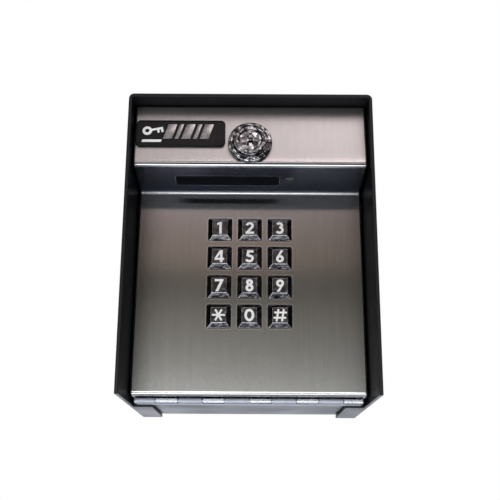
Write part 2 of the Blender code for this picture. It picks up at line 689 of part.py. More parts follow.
def lamp_cable():
    """The twin lead from the lamp board down to the control board, on a smooth curve."""
    x = -30 * MM
    stations = [Vector((x, *place(34.5 * MM, 134.5 * MM))), Vector((x, *place(52 * MM, 137 * MM))),
                Vector((x + 4 * MM, *place(70 * MM, 134 * MM))),
                Vector((x + 6 * MM, *place(65 * MM, 114 * MM)))]
    steps = 10
    curve = bpy.data.curves.new("lamp_cable", "CURVE")
    curve.dimensions = "3D"
    curve.bevel_depth = 1.1 * MM
    curve.bevel_resolution = 2
    curve.use_fill_caps = True
    spline = curve.splines.new("POLY")
    spline.points.add(steps)
    for n, point in enumerate(spline.points):
        t = n / steps
        weights = ((1 - t) ** 3, 3 * t * (1 - t) ** 2, 3 * t * t * (1 - t), t ** 3)
        place_here = sum((w * s for w, s in zip(weights, stations)), Vector((0, 0, 0)))
        point.co = (*place_here, 1)
    return add_mesh("lamp_cable", mesh_of_curve("lamp_cable", curve), WORLD, "cable_grey")


# ---------------------------------------------------------------- lock

def lock_housing():
    """The flanged barrel, with a raised ring around the key plug."""
    bore, ring_face = PLUG_RADIUS + GAP, PLUG_FACE + 0.5 * MM
    profile = [(bore, ring_face), (LOCK_RING - 0.5 * MM, ring_face), (LOCK_RING, ring_face - 0.5 * MM),
               (LOCK_RING, 3.9 * MM), (LOCK_FLANGE - 1.2 * MM, 3.7 * MM), (LOCK_FLANGE, 2.4 * MM),
               (LOCK_FLANGE, GAP), (LOCK_BODY, GAP), (LOCK_BODY, LOCK_BACK), (bore, LOCK_BACK)]
    return turned("lock_housing", profile, LOCK, "chrome", closed=True, steps=40)


def lock_nut():
    front, back = -DOOR_STEEL - GAP, -5 * MM
    flat_side_down = LOCK @ Matrix.Rotation(math.radians(30), 4, "Z")
    nut = cylinder("lock_nut", NUT_ACROSS_FLATS / math.sqrt(3), back, front, flat_side_down, "zinc_steel",
                   segments=6)
    cut(nut, cylinder("lock_nut_bore", LOCK_BODY + GAP, back - MM, front + MM, LOCK))
    return nut


def lock_plug():
    """The turning core, with its keyway, and the tang that carries the cam."""
    tang, bore, shoulder = 3.8 * MM, 1.8 * MM, LOCK_BACK - GAP
    profile = [(0, PLUG_FACE), (PLUG_RADIUS - 0.4 * MM, PLUG_FACE), (PLUG_RADIUS, PLUG_FACE - 0.4 * MM),
               (PLUG_RADIUS, shoulder), (tang, shoulder), (tang, TANG_BACK),
               (bore, TANG_BACK), (bore, TANG_BACK + 8 * MM), (0, TANG_BACK + 8 * MM)]
    plug = turned("lock_plug", profile, LOCK, "chrome", steps=32)
    deep, high = -8 * MM, PLUG_FACE + MM
    cut(plug, box("keyway", (-1.2 * MM, -4.9 * MM, deep), (1.2 * MM, 4.9 * MM, high), LOCK))
    cut(plug, box("keyway_ward", (-2.2 * MM, -1.6 * MM, deep), (0, 0.4 * MM, high), LOCK))
    return plug


def lock_cam():
    """The flat arm behind the lock. It points along +X, clear of the strike, when the lock is open."""
    front = LOCK_BACK - 2 * GAP - 0.1 * MM
    back, hub = front - CAM_STEEL, CAM_WIDTH / 2
    round_end, tip = hub * 0.98, 3 * MM
    corners = [(-hub, -hub, round_end), (CAM_LENGTH, -hub, tip),
               (CAM_LENGTH, hub, tip), (-hub, hub, round_end)]
    cam = outline("lock_cam", corners, back, front, LOCK, "zinc_steel", steps=6)
    cut(cam, cylinder("cam_hole", 4.1 * MM, back - MM, front + MM, LOCK, segments=24))
    return cam


def cam_screw():
    face, shank, head = TANG_BACK - GAP, 1.4 * MM, 4.6 * MM
    profile = [(0, face + 6 * MM), (shank, face + 6 * MM), (shank, face), (head, face),
               (head, face - 1.4 * MM), (head - 1.2 * MM, face - 2.4 * MM), (0, face - 2.6 * MM)]
    return turned("cam_screw", profile, LOCK, "zinc_steel", steps=20)


# ---------------------------------------------------------------- assembly

clear_scene()
materials = {name: new_material(name) for name in PALETTE}
parts = new_collection("entry_keypad")
cutters = new_collection("cutters")
cutters.hide_render = True

case_shell()
case_back()
bottom_plate()
cable_grommet()
ground_terminal()
lock_strike()
case_leaf = hinge_leaf("hinge_leaf_case", 0, CASE_LEAF_LOW, CASE_LEAF_BACK, "zinc_steel")
cut(case_leaf, hinge_stake())
hinge_pin()

door_pivot = pivot("door_pivot", HINGE)
door_leaf = hinge_leaf("hinge_leaf_door", 1, DOOR_LEAF_LOW, DOOR_LEAF_BACK, "zinc_steel")
keys = [key(*where) for where in key_places()]
carry(door_pivot, faceplate(), door_leaf, badge(), *lamp(), *keys)
carry(door_pivot, keypad_guide(), key_membrane(), keypad_board(), control_board(), *board_fixings())
carry(door_pivot, terminal_block(), relay(), ribbon_cable(), lamp_cable())
carry(door_pivot, lock_housing(), lock_nut())

lock_pivot = pivot("lock_pivot", LOCK)
carry(door_pivot, lock_pivot)
carry(lock_pivot, lock_plug(), lock_cam(), cam_screw())
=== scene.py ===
"""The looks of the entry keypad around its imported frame: finishes, figures, lock, badge, boards.

Metres, +Z up, with the CAD's own origin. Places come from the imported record's joints and CAD nodes.
A local frame on a face has X to the right, Z out of the face and its origin at the face's middle.
"""

import json
import math

import bmesh
import bpy
from mathutils import Matrix, Vector

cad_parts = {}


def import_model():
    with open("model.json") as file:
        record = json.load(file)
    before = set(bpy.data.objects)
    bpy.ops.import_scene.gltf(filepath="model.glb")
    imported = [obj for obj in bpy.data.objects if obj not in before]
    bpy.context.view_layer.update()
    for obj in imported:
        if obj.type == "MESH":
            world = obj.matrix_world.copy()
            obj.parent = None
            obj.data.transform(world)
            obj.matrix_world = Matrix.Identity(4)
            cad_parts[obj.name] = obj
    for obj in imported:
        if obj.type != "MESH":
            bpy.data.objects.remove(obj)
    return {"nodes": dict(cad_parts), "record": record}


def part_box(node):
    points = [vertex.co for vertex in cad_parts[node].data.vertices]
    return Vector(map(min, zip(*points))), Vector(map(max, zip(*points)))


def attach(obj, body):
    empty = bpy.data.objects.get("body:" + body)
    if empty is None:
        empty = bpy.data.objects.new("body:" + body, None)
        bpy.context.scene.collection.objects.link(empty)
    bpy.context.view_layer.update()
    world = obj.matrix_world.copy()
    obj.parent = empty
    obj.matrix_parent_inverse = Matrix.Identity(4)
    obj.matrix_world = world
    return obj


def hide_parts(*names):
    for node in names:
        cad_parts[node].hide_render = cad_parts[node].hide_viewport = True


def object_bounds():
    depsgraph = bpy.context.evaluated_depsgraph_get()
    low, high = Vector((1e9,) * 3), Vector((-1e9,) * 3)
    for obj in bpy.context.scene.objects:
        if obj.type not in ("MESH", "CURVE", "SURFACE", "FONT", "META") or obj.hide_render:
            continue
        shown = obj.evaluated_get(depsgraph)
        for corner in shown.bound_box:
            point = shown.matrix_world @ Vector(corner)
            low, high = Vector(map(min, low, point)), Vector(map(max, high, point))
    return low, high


MM = 0.001
RIGHT = Vector((1, 0, 0))

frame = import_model()
cad_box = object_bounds()
nodes = frame["nodes"]
record = frame["record"]
bodies = record["behaviour"]["bodies"]
joints = {joint["name"]: joint for joint in record["behaviour"]["joints"]}
slots = {entry["node"]: entry["material_slot"] for entry in record["subparts"]}
key_bodies = [name[:-len("_press")] for name in joints if name.endswith("_press")]
body_of = {node: body for body, members in bodies.items() for node in members}


# ---------------------------------------------------------------- places

def mm(*values):
    """Millimetres to metres, for numbers and for points of them."""
    return tuple(mm(*value) if isinstance(value, tuple) else value * MM for value in values)


def basis(out, origin=(0, 0, 0)):
    """A frame whose X is as near to world X as it can be and whose Z points out."""
    z = Vector(out).normalized()
    x = (RIGHT - z * z.x).normalized()
    made = Matrix((x, z.cross(x), z)).transposed().to_4x4()
    made.translation = origin
    return made


def reach(node, direction):
    """How far a CAD node extends along a direction, as (lowest, highest)."""
    marks = [vertex.co.dot(direction) for vertex in nodes[node].data.vertices]
    return min(marks), max(marks)


def size_along(node, direction):
    low, high = reach(node, direction)
    return high - low


def face_frame(node, out):
    """The frame on the outermost face of a node, looking along out."""
    made = basis(out)
    x, y, z = (made.col[i].to_3d() for i in range(3))
    origin = x * sum(reach(node, x)) / 2 + y * sum(reach(node, y)) / 2 + z * reach(node, z)[1]
    return basis(out, origin)


def facing(node, towards):
    """The average normal of the faces of a node that look roughly towards a direction."""
    total = Vector()
    for polygon in nodes[node].data.polygons:
        if polygon.normal.dot(towards) > 0.95:
            total += polygon.normal * polygon.area
    return total.normalized()


def shift(x, y, z=0.0, turn=0.0):
    """A move, after a turn about Z in degrees."""
    return Matrix.Translation((x, y, z)) @ Matrix.Rotation(math.radians(turn), 4, "Z")


KEY_OUT = -Vector(joints["key_5_press"]["axis"])
LOCK_OUT = Vector(joints["lock_turn"]["axis"])
LOCK = basis(LOCK_OUT, joints["lock_turn"]["pos_m"])
SOFFIT_OUT = facing("light_lens", Vector((0, 0, -1)))
LIP_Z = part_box("light_lens")[1][2] + 2 * MM     # about the height of the faceplate's lip
CASE_HALF = size_along("case_shell", RIGHT) / 2


# ---------------------------------------------------------------- materials

class Nodes:
    """Builds shader nodes: an input given a socket is linked to it, and any other value is set."""

    def __init__(self, tree):
        self.tree = tree

    def put(self, socket, value):
        if isinstance(value, bpy.types.NodeSocket):
            self.tree.links.new(value, socket)
        else:
            socket.default_value = value

    def node(self, kind, settings=None, **inputs):
        made = self.tree.nodes.new("ShaderNode" + kind)
        for key, value in (settings or {}).items():
            setattr(made, key, value)
        for key, value in inputs.items():
            self.put(made.inputs[key.replace("_", " ")], value)
        return made

    def math(self, operation, *values, clamp=False):
        made = self.node("Math", {"operation": operation, "use_clamp": clamp})
        for socket, value in zip(made.inputs, values):
            self.put(socket, value)
        return made.outputs[0]

    def axis(self, vector, name):
        return self.node("SeparateXYZ", Vector=vector).outputs[name]

    def spread(self, value, low, high, start=0.0, end=1.0, kind="LINEAR"):
        """Turns low to high into start to end, and holds the ends outside that."""
        made = self.node("MapRange", {"interpolation_type": kind}, Value=value,
                         From_Min=low, From_Max=high, To_Min=start, To_Max=end)
        return made.outputs[0]

    def mix(self, amount, one, other):
        """All of the first at 0 and all of the other at 1. Each is a colour or a socket."""
        one, other = ((*c, 1) if isinstance(c, tuple) else c for c in (one, other))
        return self.node("MixRGB", Fac=amount, Color1=one, Color2=other).outputs[0]

    def ramp(self, value, *stops):
        """A linear colour ramp through (position, grey or colour)."""
        made = self.node("ValToRGB", Fac=value)
        elements = made.color_ramp.elements
        while len(elements) < len(stops):
            elements.new(0.5)
        for element, (position, colour) in zip(elements, stops):
            element.position = position
            element.color = (*(colour if isinstance(colour, tuple) else [colour] * 3), 1)
        return made.outputs[0]


class Shader(Nodes):
    """A new material with its main shader."""

    def __init__(self, name, metallic=0.0):
        self.material = bpy.data.materials.new(name)
        self.material.use_nodes = True
        super().__init__(self.material.node_tree)
        self.main = self.tree.nodes["Principled BSDF"]
        self.set("Metallic", metallic)

    def set(self, name, value):
        self.put(self.main.inputs[name], value)

    def coords(self, stretch=(1, 1, 1)):
        """Object coordinates, stretched so that noise can be drawn out along an axis."""
        where = self.node("TexCoord").outputs["Object"]
        return self.node("Mapping", Vector=where, Scale=stretch).outputs[0]

    def noise(self, scale, detail=2.0, stretch=(1, 1, 1)):
        made = self.node("TexNoise", Vector=self.coords(stretch), Scale=scale, Detail=detail)
        return made.outputs["Fac"]

    def cloud(self, scale, detail, low, high, start=0.3, end=0.7):
        """Noise between two greys or colours."""
        return self.ramp(self.noise(scale, detail), (start, low), (end, high))

    def normal(self, axis, kind="Normal"):
        return self.axis(self.node("NewGeometry").outputs[kind], axis)

    def mark(self):
        """The number that MARKS gives the object."""
        return self.node("ObjectInfo").outputs["Object Index"]

    def edges(self, radius, gain):
        """1 along the outer edges of a piece and 0 on its flats."""
        dot = self.node("VectorMath", {"operation": "DOT_PRODUCT"})
        self.put(dot.inputs[0], self.node("NewGeometry").outputs["Normal"])
        self.put(dot.inputs[1], self.node("Bevel", {"samples": 4}, Radius=radius).outputs[0])
        turned_away = self.math("SUBTRACT", 1.0, dot.outputs["Value"])
        return self.math("MULTIPLY", turned_away, gain, clamp=True)

    def bump(self, *layers):
        """Stacks (height, distance in metres, strength)."""
        normal = None
        for height, distance, strength in layers:
            made = self.node("Bump", Height=height, Distance=distance, Strength=strength)
            if normal is not None:
                self.put(made.inputs["Normal"], normal)
            normal = made.outputs[0]
        self.set("Normal", normal)


def powder_black():
    """Satin powder coat: orange peel, uneven gloss, a painted highlight along its edges, and painted
    shade on the side walls within the hood.
    """
    s = Shader("powder_black")
    speck = s.cloud(1500, 1, (0.009, 0.009, 0.011), (0.017, 0.017, 0.020), 0.35, 0.75)
    # painted highlight: the coat turns lighter grey along every edge
    speck_with_edge_highlight = s.mix(s.edges(0.0006, 3.0), speck, (0.05, 0.05, 0.055))
    sideways = s.math("ABSOLUTE", s.normal("X"))
    across = s.math("ABSOLUTE", s.axis(s.coords(), "X"))
    within = s.spread(across, CASE_HALF - 0.4 * MM, CASE_HALF - 0.8 * MM)
    shaded_inner_walls = s.math("MULTIPLY", sideways, within)
    # painted shade: the side walls within the hood take a darker colour
    s.set("Base Color", s.mix(shaded_inner_walls, speck_with_edge_highlight, (0.0055, 0.006, 0.0075)))
    s.set("Roughness", s.cloud(25, 2, 0.38, 0.48))
    s.set("Specular IOR Level", s.spread(shaded_inner_walls, 0.0, 1.0, 0.25, 0.02))
    s.bump((s.noise(900, 3), 0.00006, 0.4))
    return s.material


def brushed_stainless():
    """Sheet brushed up and down, so reflections spread sideways and stay sharp in height.

    The upper panel is duller, the step's underside has painted shade and every edge has a painted
    highlight.
    """
    s = Shader("brushed_stainless", 1.0)
    grain = s.noise(1.0, 3, (9000, 9000, 90))
    broad = s.noise(1.0, 3, (700, 700, 9))
    z = s.axis(s.coords(), "Z")
    under = s.spread(s.normal("Z", "True Normal"), SOFFIT_OUT.z + 0.2, SOFFIT_OUT.z + 0.05)
    above_keys = s.spread(z, LIP_Z - 50 * MM, LIP_Z - 40 * MM)
    soffit_shade = s.math("MULTIPLY", under, above_keys)
    # painted shade: the step's underside, above the keys, turns a darker blue grey
    sheet = s.mix(soffit_shade, s.ramp(broad, (0.3, 0.545), (0.7, 0.575)), (0.27, 0.285, 0.33))
    # painted highlight: every edge turns white
    s.set("Base Color", s.mix(s.edges(0.0012, 14.0), sheet, (1, 1, 1)))
    upper = s.spread(z, LIP_Z, LIP_Z + 4 * MM)
    fine = s.math("MULTIPLY_ADD", s.noise(30, 3), 0.05, 0.155)
    s.set("Roughness", s.math("ADD", fine, s.math("MULTIPLY", upper, 0.2)))
    s.set("Anisotropic", s.math("SUBTRACT", 1.0, s.math("MULTIPLY", upper, 0.7)))
    s.set("Tangent", s.node("CombineXYZ", X=1.0, Y=0.03, Z=0.0).outputs[0])
    s.bump((grain, 0.00006, 0.5), (broad, 0.00001, 0.15))
    return s.material


PALE, LINED = 1, 2      # marks: PALE dulls a hinge leaf as painted shade and makes a lens paler as a painted highlight; LINED outlines knuckles with painted shade


def zinc_steel():
    """Bright plated steel with fine rolling marks and a cloudy gloss, and painted shade where it
    looks down.
    """
    s = Shader("zinc_steel", 1.0)
    bright = s.cloud(220, 3, (0.55, 0.575, 0.63), (0.68, 0.70, 0.73))
    # own: the plated colour, with painted shade on faces that look down
    own = s.mix(s.spread(s.normal("Z"), -0.8, -0.95), bright, (0.16, 0.17, 0.19))
    mark = s.mark()
    # painted shade: the case's hinge leaf, marked PALE, turns duller and bluer
    pale = s.math("COMPARE", mark, PALE, 0.1)
    lined = s.math("COMPARE", mark, LINED, 0.1)
    # painted shade: dark outlines along the edges of knuckles marked LINED
    outline = s.math("MULTIPLY", lined, s.edges(0.0009, 25.0))
    s.set("Base Color", s.mix(outline, s.mix(pale, own, (0.44, 0.47, 0.53)), (0.03, 0.033, 0.04)))
    rolled = s.cloud(400, 3, 0.16, 0.33)
    s.set("Roughness", s.math("ADD", rolled, s.math("MULTIPLY", pale, 0.3)))
    s.bump((s.noise(1.0, 2, (300, 4000, 4000)), 0.00001, 0.3))
    return s.material


def chrome():
    """Polished chrome over a wavy casting: a painted dark reflection where its surface turns from the
    view, with fine rub marks.
    """
    s = Shader("chrome", 1.0)
    cloud = s.cloud(330, 3, (0.06, 0.06, 0.065), (0.62, 0.62, 0.64), 0.42, 0.60)
    # painted reflection: dark where the surface faces off from the view
    away = s.ramp(s.node("LayerWeight", Blend=0.5).outputs["Facing"], (0.42, 0.0), (0.66, 1.0))
    s.set("Base Color", s.mix(away, cloud, (0.03, 0.03, 0.035)))
    s.set("Roughness", s.cloud(500, 4, 0.03, 0.10, 0.4, 0.75))
    s.bump((s.noise(190, 2), 0.0011, 1.0), (s.noise(2500, 2), 0.00001, 0.3))
    return s.material


def dark_chrome():
    """Dark plated die casting: wavy, with a painted highlight along its edges."""
    s = Shader("dark_chrome", 1.0)
    cloud = s.cloud(330, 3, (0.05, 0.05, 0.058), (0.18, 0.18, 0.19), 0.3, 0.75)
    # painted highlight: edges turn nearly white
    s.set("Base Color", s.mix(s.edges(0.0007, 12.0), cloud, (0.85, 0.85, 0.86)))
    s.set("Roughness", s.cloud(600, 3, 0.10, 0.24, 0.35, 0.7))
    s.bump((s.noise(300, 2), 0.00045, 0.8), (s.noise(1800, 2), 0.00002, 0.3))
    return s.material


def smoked_lens():
    """A nearly black window, and a greyer one for the round indicator, whose grey is a painted
    highlight.
    """
    s = Shader("smoked_lens")
    # painted highlight: the round indicator's lens is made paler
    s.set("Base Color", s.mix(s.mark(), (0.006, 0.007, 0.008), (0.12, 0.12, 0.125)))
    s.set("Specular IOR Level", 0.12)
    s.set("Roughness", s.cloud(90, 2, 0.06, 0.16))
    s.bump((s.noise(200, 1), 0.00003, 0.2))
    return s.material


def board_green():
    """Solder mask over copper tracks that run in two directions."""
    s = Shader("board_green")
    tracks = s.node("TexBrick", {"offset": 0.37, "squash": 1.7}, Vector=s.coords(), Scale=170.0,
                    Mortar_Size=0.035).outputs["Fac"]
    spots = s.node("TexVoronoi", Vector=s.coords(), Scale=260.0).outputs["Distance"]
    raised = s.math("MAXIMUM", tracks, s.ramp(spots, (0.12, 1.0), (0.16, 0.0)))
    s.set("Base Color", s.ramp(raised, (0.1, (0.008, 0.085, 0.036)), (0.9, (0.022, 0.16, 0.065))))
    s.set("Roughness", s.cloud(80, 2, 0.28, 0.42))
    s.bump((raised, 0.00004, 0.5))
    return s.material


def cable_grey():
    """Flat cable: a painted highlight along each of its conductors, with painted shade between them.
    """
    s = Shader("cable_grey")
    wires = s.math("MULTIPLY", s.axis(s.coords(), "X"), math.tau / (1.27 * MM))
    ridge = s.math("MULTIPLY_ADD", s.math("SINE", wires), 0.5, 0.5)
    # painted highlight on each conductor's ridge and painted shade in the grooves
    s.set("Base Color", s.ramp(ridge, (0.1, (0.16, 0.17, 0.19)), (0.8, (0.40, 0.41, 0.43))))
    s.bump((ridge, 0.0003, 0.8))
    return s.material


def badge_silver():
    s = Shader("badge_silver", 0.85)
    s.set("Base Color", s.cloud(300, 2, (0.28, 0.28, 0.28), (0.46, 0.455, 0.45)))
    s.set("Roughness", s.cloud(500, 3, 0.24, 0.40))
    s.bump((s.noise(1.0, 2, (4000, 300, 300)), 0.00001, 0.4))
    return s.material


def even(name, colour, gloss, grain=None, specular=0.5):
    """A plain finish: a cloudy colour and gloss, and a bump of one fine grain."""
    s = Shader(name)
    s.set("Base Color", s.cloud(*colour))
    s.set("Roughness", s.cloud(*gloss))
    s.set("Specular IOR Level", specular)
    if grain:
        scale, distance = grain
        s.bump((s.noise(scale, 2), distance, 0.3))
    return s.material


MAKERS = (powder_black, brushed_stainless, zinc_steel, chrome, dark_chrome, smoked_lens,
          board_green, cable_grey, badge_silver)
finishes = {maker.__name__: maker() for maker in MAKERS}
EVEN = {
    "black_plastic": ((150, 2, (0.005, 0.005, 0.006), (0.010, 0.010, 0.011)),
                      (60, 2, 0.30, 0.44), (3000, 0.00003), 0.2),
    "grey_rubber": ((120, 3, (0.13, 0.13, 0.14), (0.18, 0.18, 0.19)),
                    (300, 2, 0.68, 0.82), (2500, 0.00004)),
    "terminal_green": ((120, 2, (0.022, 0.25, 0.08), (0.035, 0.32, 0.11)),
                       (80, 2, 0.40, 0.54), (2500, 0.00003)),
    "figure_white": ((900, 2, (0.90, 0.90, 0.89), (0.98, 0.98, 0.97), 0.3, 0.6),
                     (400, 2, 0.30, 0.45)),
}
finishes.update({name: even(name, *settings) for name, settings in EVEN.items()})


# ---------------------------------------------------------------- mesh tools

def arc(x, y, rx, ry, start, end, steps=20):
    """Points on an ellipse, between two angles in degrees."""
    angles = [math.radians(start + (end - start) * i / steps) for i in range(steps + 1)]
    return [(x + rx * math.cos(a), y + ry * math.sin(a)) for a in angles]


def circle(steps):
    """Points around a circle of radius 1."""
    angles = [math.tau * i / steps for i in range(steps)]
    return [(math.cos(a), math.sin(a)) for a in angles]


def rounded_box(width, height, radius, steps=6):
    """The outline of a rectangle with round corners, centred on the origin."""
    points = []
    for quarter in range(4):
        x = (width / 2 - radius) * (1 if quarter in (0, 3) else -1)
        y = (height / 2 - radius) * (1 if quarter in (0, 1) else -1)
        for step in range(steps + 1):
            angle = math.pi / 2 * (quarter + step / steps)
            points.append((x + radius * math.cos(angle), y + radius * math.sin(angle)))
    return points


def merge(bm, other, at=Matrix()):
    """Adds one mesh to another, moved to its place."""
    other.transform(at)
    mesh = bpy.data.meshes.new("merged")
    other.to_mesh(mesh)
    other.free()
    bm.from_mesh(mesh)
    bpy.data.meshes.remove(mesh)


def ease_edges(bm, edges, ease):
    bmesh.ops.bevel(bm, geom=edges, offset=ease, segments=2, profile=0.5, affect="EDGES")


def block(low, high, ease=0.0):
    """A box with rounded edges."""
    low, high = Vector(low), Vector(high)
    bm = bmesh.new()
    place = Matrix.Translation((low + high) / 2) @ Matrix.Diagonal((*(high - low), 1))
    bmesh.ops.create_cube(bm, size=1, matrix=place)
    if ease:
        ease_edges(bm, bm.edges[:], ease)
    return bm


def prism(points, low, high, ease=0.0):
    """A flat outline with a thickness, and its upper edges eased."""
    bm = bmesh.new()
    bottom = [bm.verts.new((x, y, low)) for x, y in points]
    top = [bm.verts.new((x, y, high)) for x, y in points]
    bm.faces.new(bottom[::-1])
    bm.faces.new(top)
    for i in range(len(points)):
        bm.faces.new((bottom[i - 1], bottom[i], top[i], top[i - 1]))
    bmesh.ops.recalc_face_normals(bm, faces=bm.faces[:])
    if ease:
        near = high - ease / 9
        ease_edges(bm, [edge for edge in bm.edges if all(v.co.z > near for v in edge.verts)], ease)
    return bm


def turned(profile, steps=64, closed=False):
    """A profile of (radius, z) turned about Z. A radius of 0 is a point on the axis."""
    bm = bmesh.new()
    around = circle(steps)
    rings = []
    for radius, z in profile:
        points = around if radius else around[:1]
        rings.append([bm.verts.new((radius * x, radius * y, z)) for x, y in points])
    for a, b in zip(rings, rings[1:] + rings[:1] * closed):
        for i in range(steps):
            j = (i + 1) % steps
            corners = dict.fromkeys((a[i % len(a)], b[i % len(b)], b[j % len(b)], a[j % len(a)]))
            if len(corners) > 2:
                bm.faces.new(tuple(corners))
    bmesh.ops.recalc_face_normals(bm, faces=bm.faces[:])
    return bm


def disc(radius, low, high, steps=20):
    return turned([(0, high), (radius, high), (radius, low), (0, low)], steps)


def tube(points, radius, steps=12):
    """A round bar through the points, with flat ends."""
    bm = bmesh.new()
    points = [Vector(p) for p in points]
    rings = []
    side = None
    for i, point in enumerate(points):
        ahead = (points[min(i + 1, len(points) - 1)] - points[max(i - 1, 0)]).normalized()
        if side is None:
            side = ahead.orthogonal().normalized()
        else:
            side = (side - ahead * side.dot(ahead)).normalized()
        other = ahead.cross(side)
        rings.append([bm.verts.new(point + radius * (side * x + other * y))
                      for x, y in circle(steps)])
    for a, b in zip(rings, rings[1:]):
        for n in range(steps):
            bm.faces.new((a[n - 1], a[n], b[n], b[n - 1]))
    bm.faces.new(rings[0][::-1])
    bm.faces.new(rings[-1])
    bmesh.ops.recalc_face_normals(bm, faces=bm.faces[:])
    return bm


def cross(arm, half, low, high):
    """Two crossed bars, to cut a recess or scores with."""
    return (block((-arm, -half, low), (arm, half, high)),
            block((-half, -arm, low), (half, arm, high)))


def combine(operation, base, *others):
    """One mesh: the base joined with, or cut by, the other shapes."""
    made = []
    for bm in (base, *others):
        mesh = bpy.data.meshes.new("shape")
        bm.to_mesh(mesh)
        bm.free()
        obj = bpy.data.objects.new("shape", mesh)
        bpy.context.scene.collection.objects.link(obj)
        made.append(obj)
    for other in made[1:]:
        modifier(made[0], "BOOLEAN", operation=operation, solver="EXACT", object=other)
    evaluated = made[0].evaluated_get(bpy.context.evaluated_depsgraph_get())
    result = bpy.data.meshes.new_from_object(evaluated)
    bm = bmesh.new()
    bm.from_mesh(result)
    bpy.data.meshes.remove(result)
    for obj in made:
        mesh = obj.data
        bpy.data.objects.remove(obj)
        bpy.data.meshes.remove(mesh)
    return bm


def modifier(obj, kind, **settings):
    made = obj.modifiers.new(kind.lower(), kind)
    for key, value in settings.items():
        setattr(made, key, value)


def piece(name, bm, at, finish, body, sharp=35, replaced=None):
    """Puts a finished mesh in the scene, on its body, and perhaps in place of a CAD node."""
    mesh = bpy.data.meshes.new(name)
    bm.to_mesh(mesh)
    bm.free()
    mesh.materials.append(finishes[finish])
    mesh.shade_smooth()
    mesh.set_sharp_from_angle(angle=math.radians(sharp))
    obj = bpy.data.objects.new(name, mesh)
    bpy.context.scene.collection.objects.link(obj)
    obj.matrix_world = at
    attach(obj, body)
    if replaced:
        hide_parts(replaced)


# ---------------------------------------------------------------- CAD nodes

EASE = {  # the width that a node's edges are rounded by, where it isn't the usual one
    "case_shell": 0.35 * MM,
    "bottom_plate": 0.25 * MM,
    "hinge_leaf_case": 0.12 * MM,
    "hinge_leaf_door": 0.12 * MM,
    "key_membrane": 0.25 * MM,
    "terminal_block": 0.3 * MM,
    "lock_cam": 0.3 * MM,
    "door_panel": 0.5 * MM,
    **{key: 0.2 * MM for key in key_bodies},
}
USUAL_EASE = 0.15 * MM
MARKS = {"hinge_leaf_case": PALE, "hinge_leaf_door": LINED, "status_led": PALE}


def finish_cad_nodes():
    """Every carried-over CAD node gets its slot's finish, welded facets and eased edges."""
    for name, obj in nodes.items():
        obj.data.materials.clear()
        obj.data.materials.append(finishes[slots[name]])
        obj.pass_index = MARKS.get(name, 0)
        for polygon in obj.data.polygons:
            polygon.use_smooth = True
        modifier(obj, "WELD", merge_threshold=0.01 * MM)
        modifier(obj, "DECIMATE", decimate_type="DISSOLVE", angle_limit=math.radians(0.5))
        modifier(obj, "BEVEL", width=EASE.get(name, USUAL_EASE), segments=2, limit_method="ANGLE",
                 angle_limit=math.radians(35))
        modifier(obj, "WEIGHTED_NORMAL", keep_sharp=False)


# ---------------------------------------------------------------- key figures

STROKE = 1.45                       # widths of a figure's strokes, in millimetres
THIN = 1.1
FIGURE_RISE = 0.06 * MM             # above the key's top face
FIGURE_DEPTH = 0.12 * MM            # below it


def ring(x, y, rx, ry):
    """A closed band around an ellipse."""
    return stroke(arc(x, y, rx, ry, 0, 360, 40)[:-1], closed=True)


def stroke(points, width=STROKE, closed=False):
    """A band of even width along a path, in millimetres, as a thin solid."""
    path = [Vector(p) for p in points]
    count = len(path)
    sides = []
    for i, point in enumerate(path):
        before = path[i - 1] if closed or i else path[0]
        after = path[(i + 1) % count] if closed or i < count - 1 else path[-1]
        along = (after - before).normalized()
        across = Vector((-along.y, along.x)) * width / 2
        sides.append((point + across, point - across))
    bm = bmesh.new()
    low, high = ([[bm.verts.new((p.x * MM, p.y * MM, z)) for p in pair] for pair in sides]
                 for z in (-FIGURE_DEPTH, FIGURE_RISE))
    for i in range(count if closed else count - 1):
        j = (i + 1) % count
        bm.faces.new((high[i][0], high[i][1], high[j][1], high[j][0]))
        bm.faces.new((low[i][0], low[j][0], low[j][1], low[i][1]))
        for side in (0, 1):
            bm.faces.new((low[i][side], high[i][side], high[j][side], low[j][side]))
    if not closed:
        for i in (0, -1):
            bm.faces.new((low[i][0], low[i][1], high[i][1], high[i][0]))
    bmesh.ops.recalc_face_normals(bm, faces=bm.faces[:])
    return bm


def patch(*points):
    """A straight-sided patch of a figure, in millimetres."""
    return prism(mm(*points), -FIGURE_DEPTH, FIGURE_RISE)


def bar(x0, y0, x1, y1):
    return patch((x0, y0), (x1, y0), (x1, y1), (x0, y1))


def spoke(angle, length=3.75):
    dx, dy = length * math.cos(math.radians(angle)), length * math.sin(math.radians(angle))
    return stroke([(-dx, -dy), (dx, dy)], THIN)


def six():
    return [ring(0, -1.42, 1.55, 1.55),
            patch((0.35, 3.7), (2.0, 3.7), (-0.75, -0.3), (-2.05, -0.75))]


def nine():
    patches = six()
    for bm in patches:
        bm.transform(Matrix.Rotation(math.pi, 4, "Z"))
    return patches


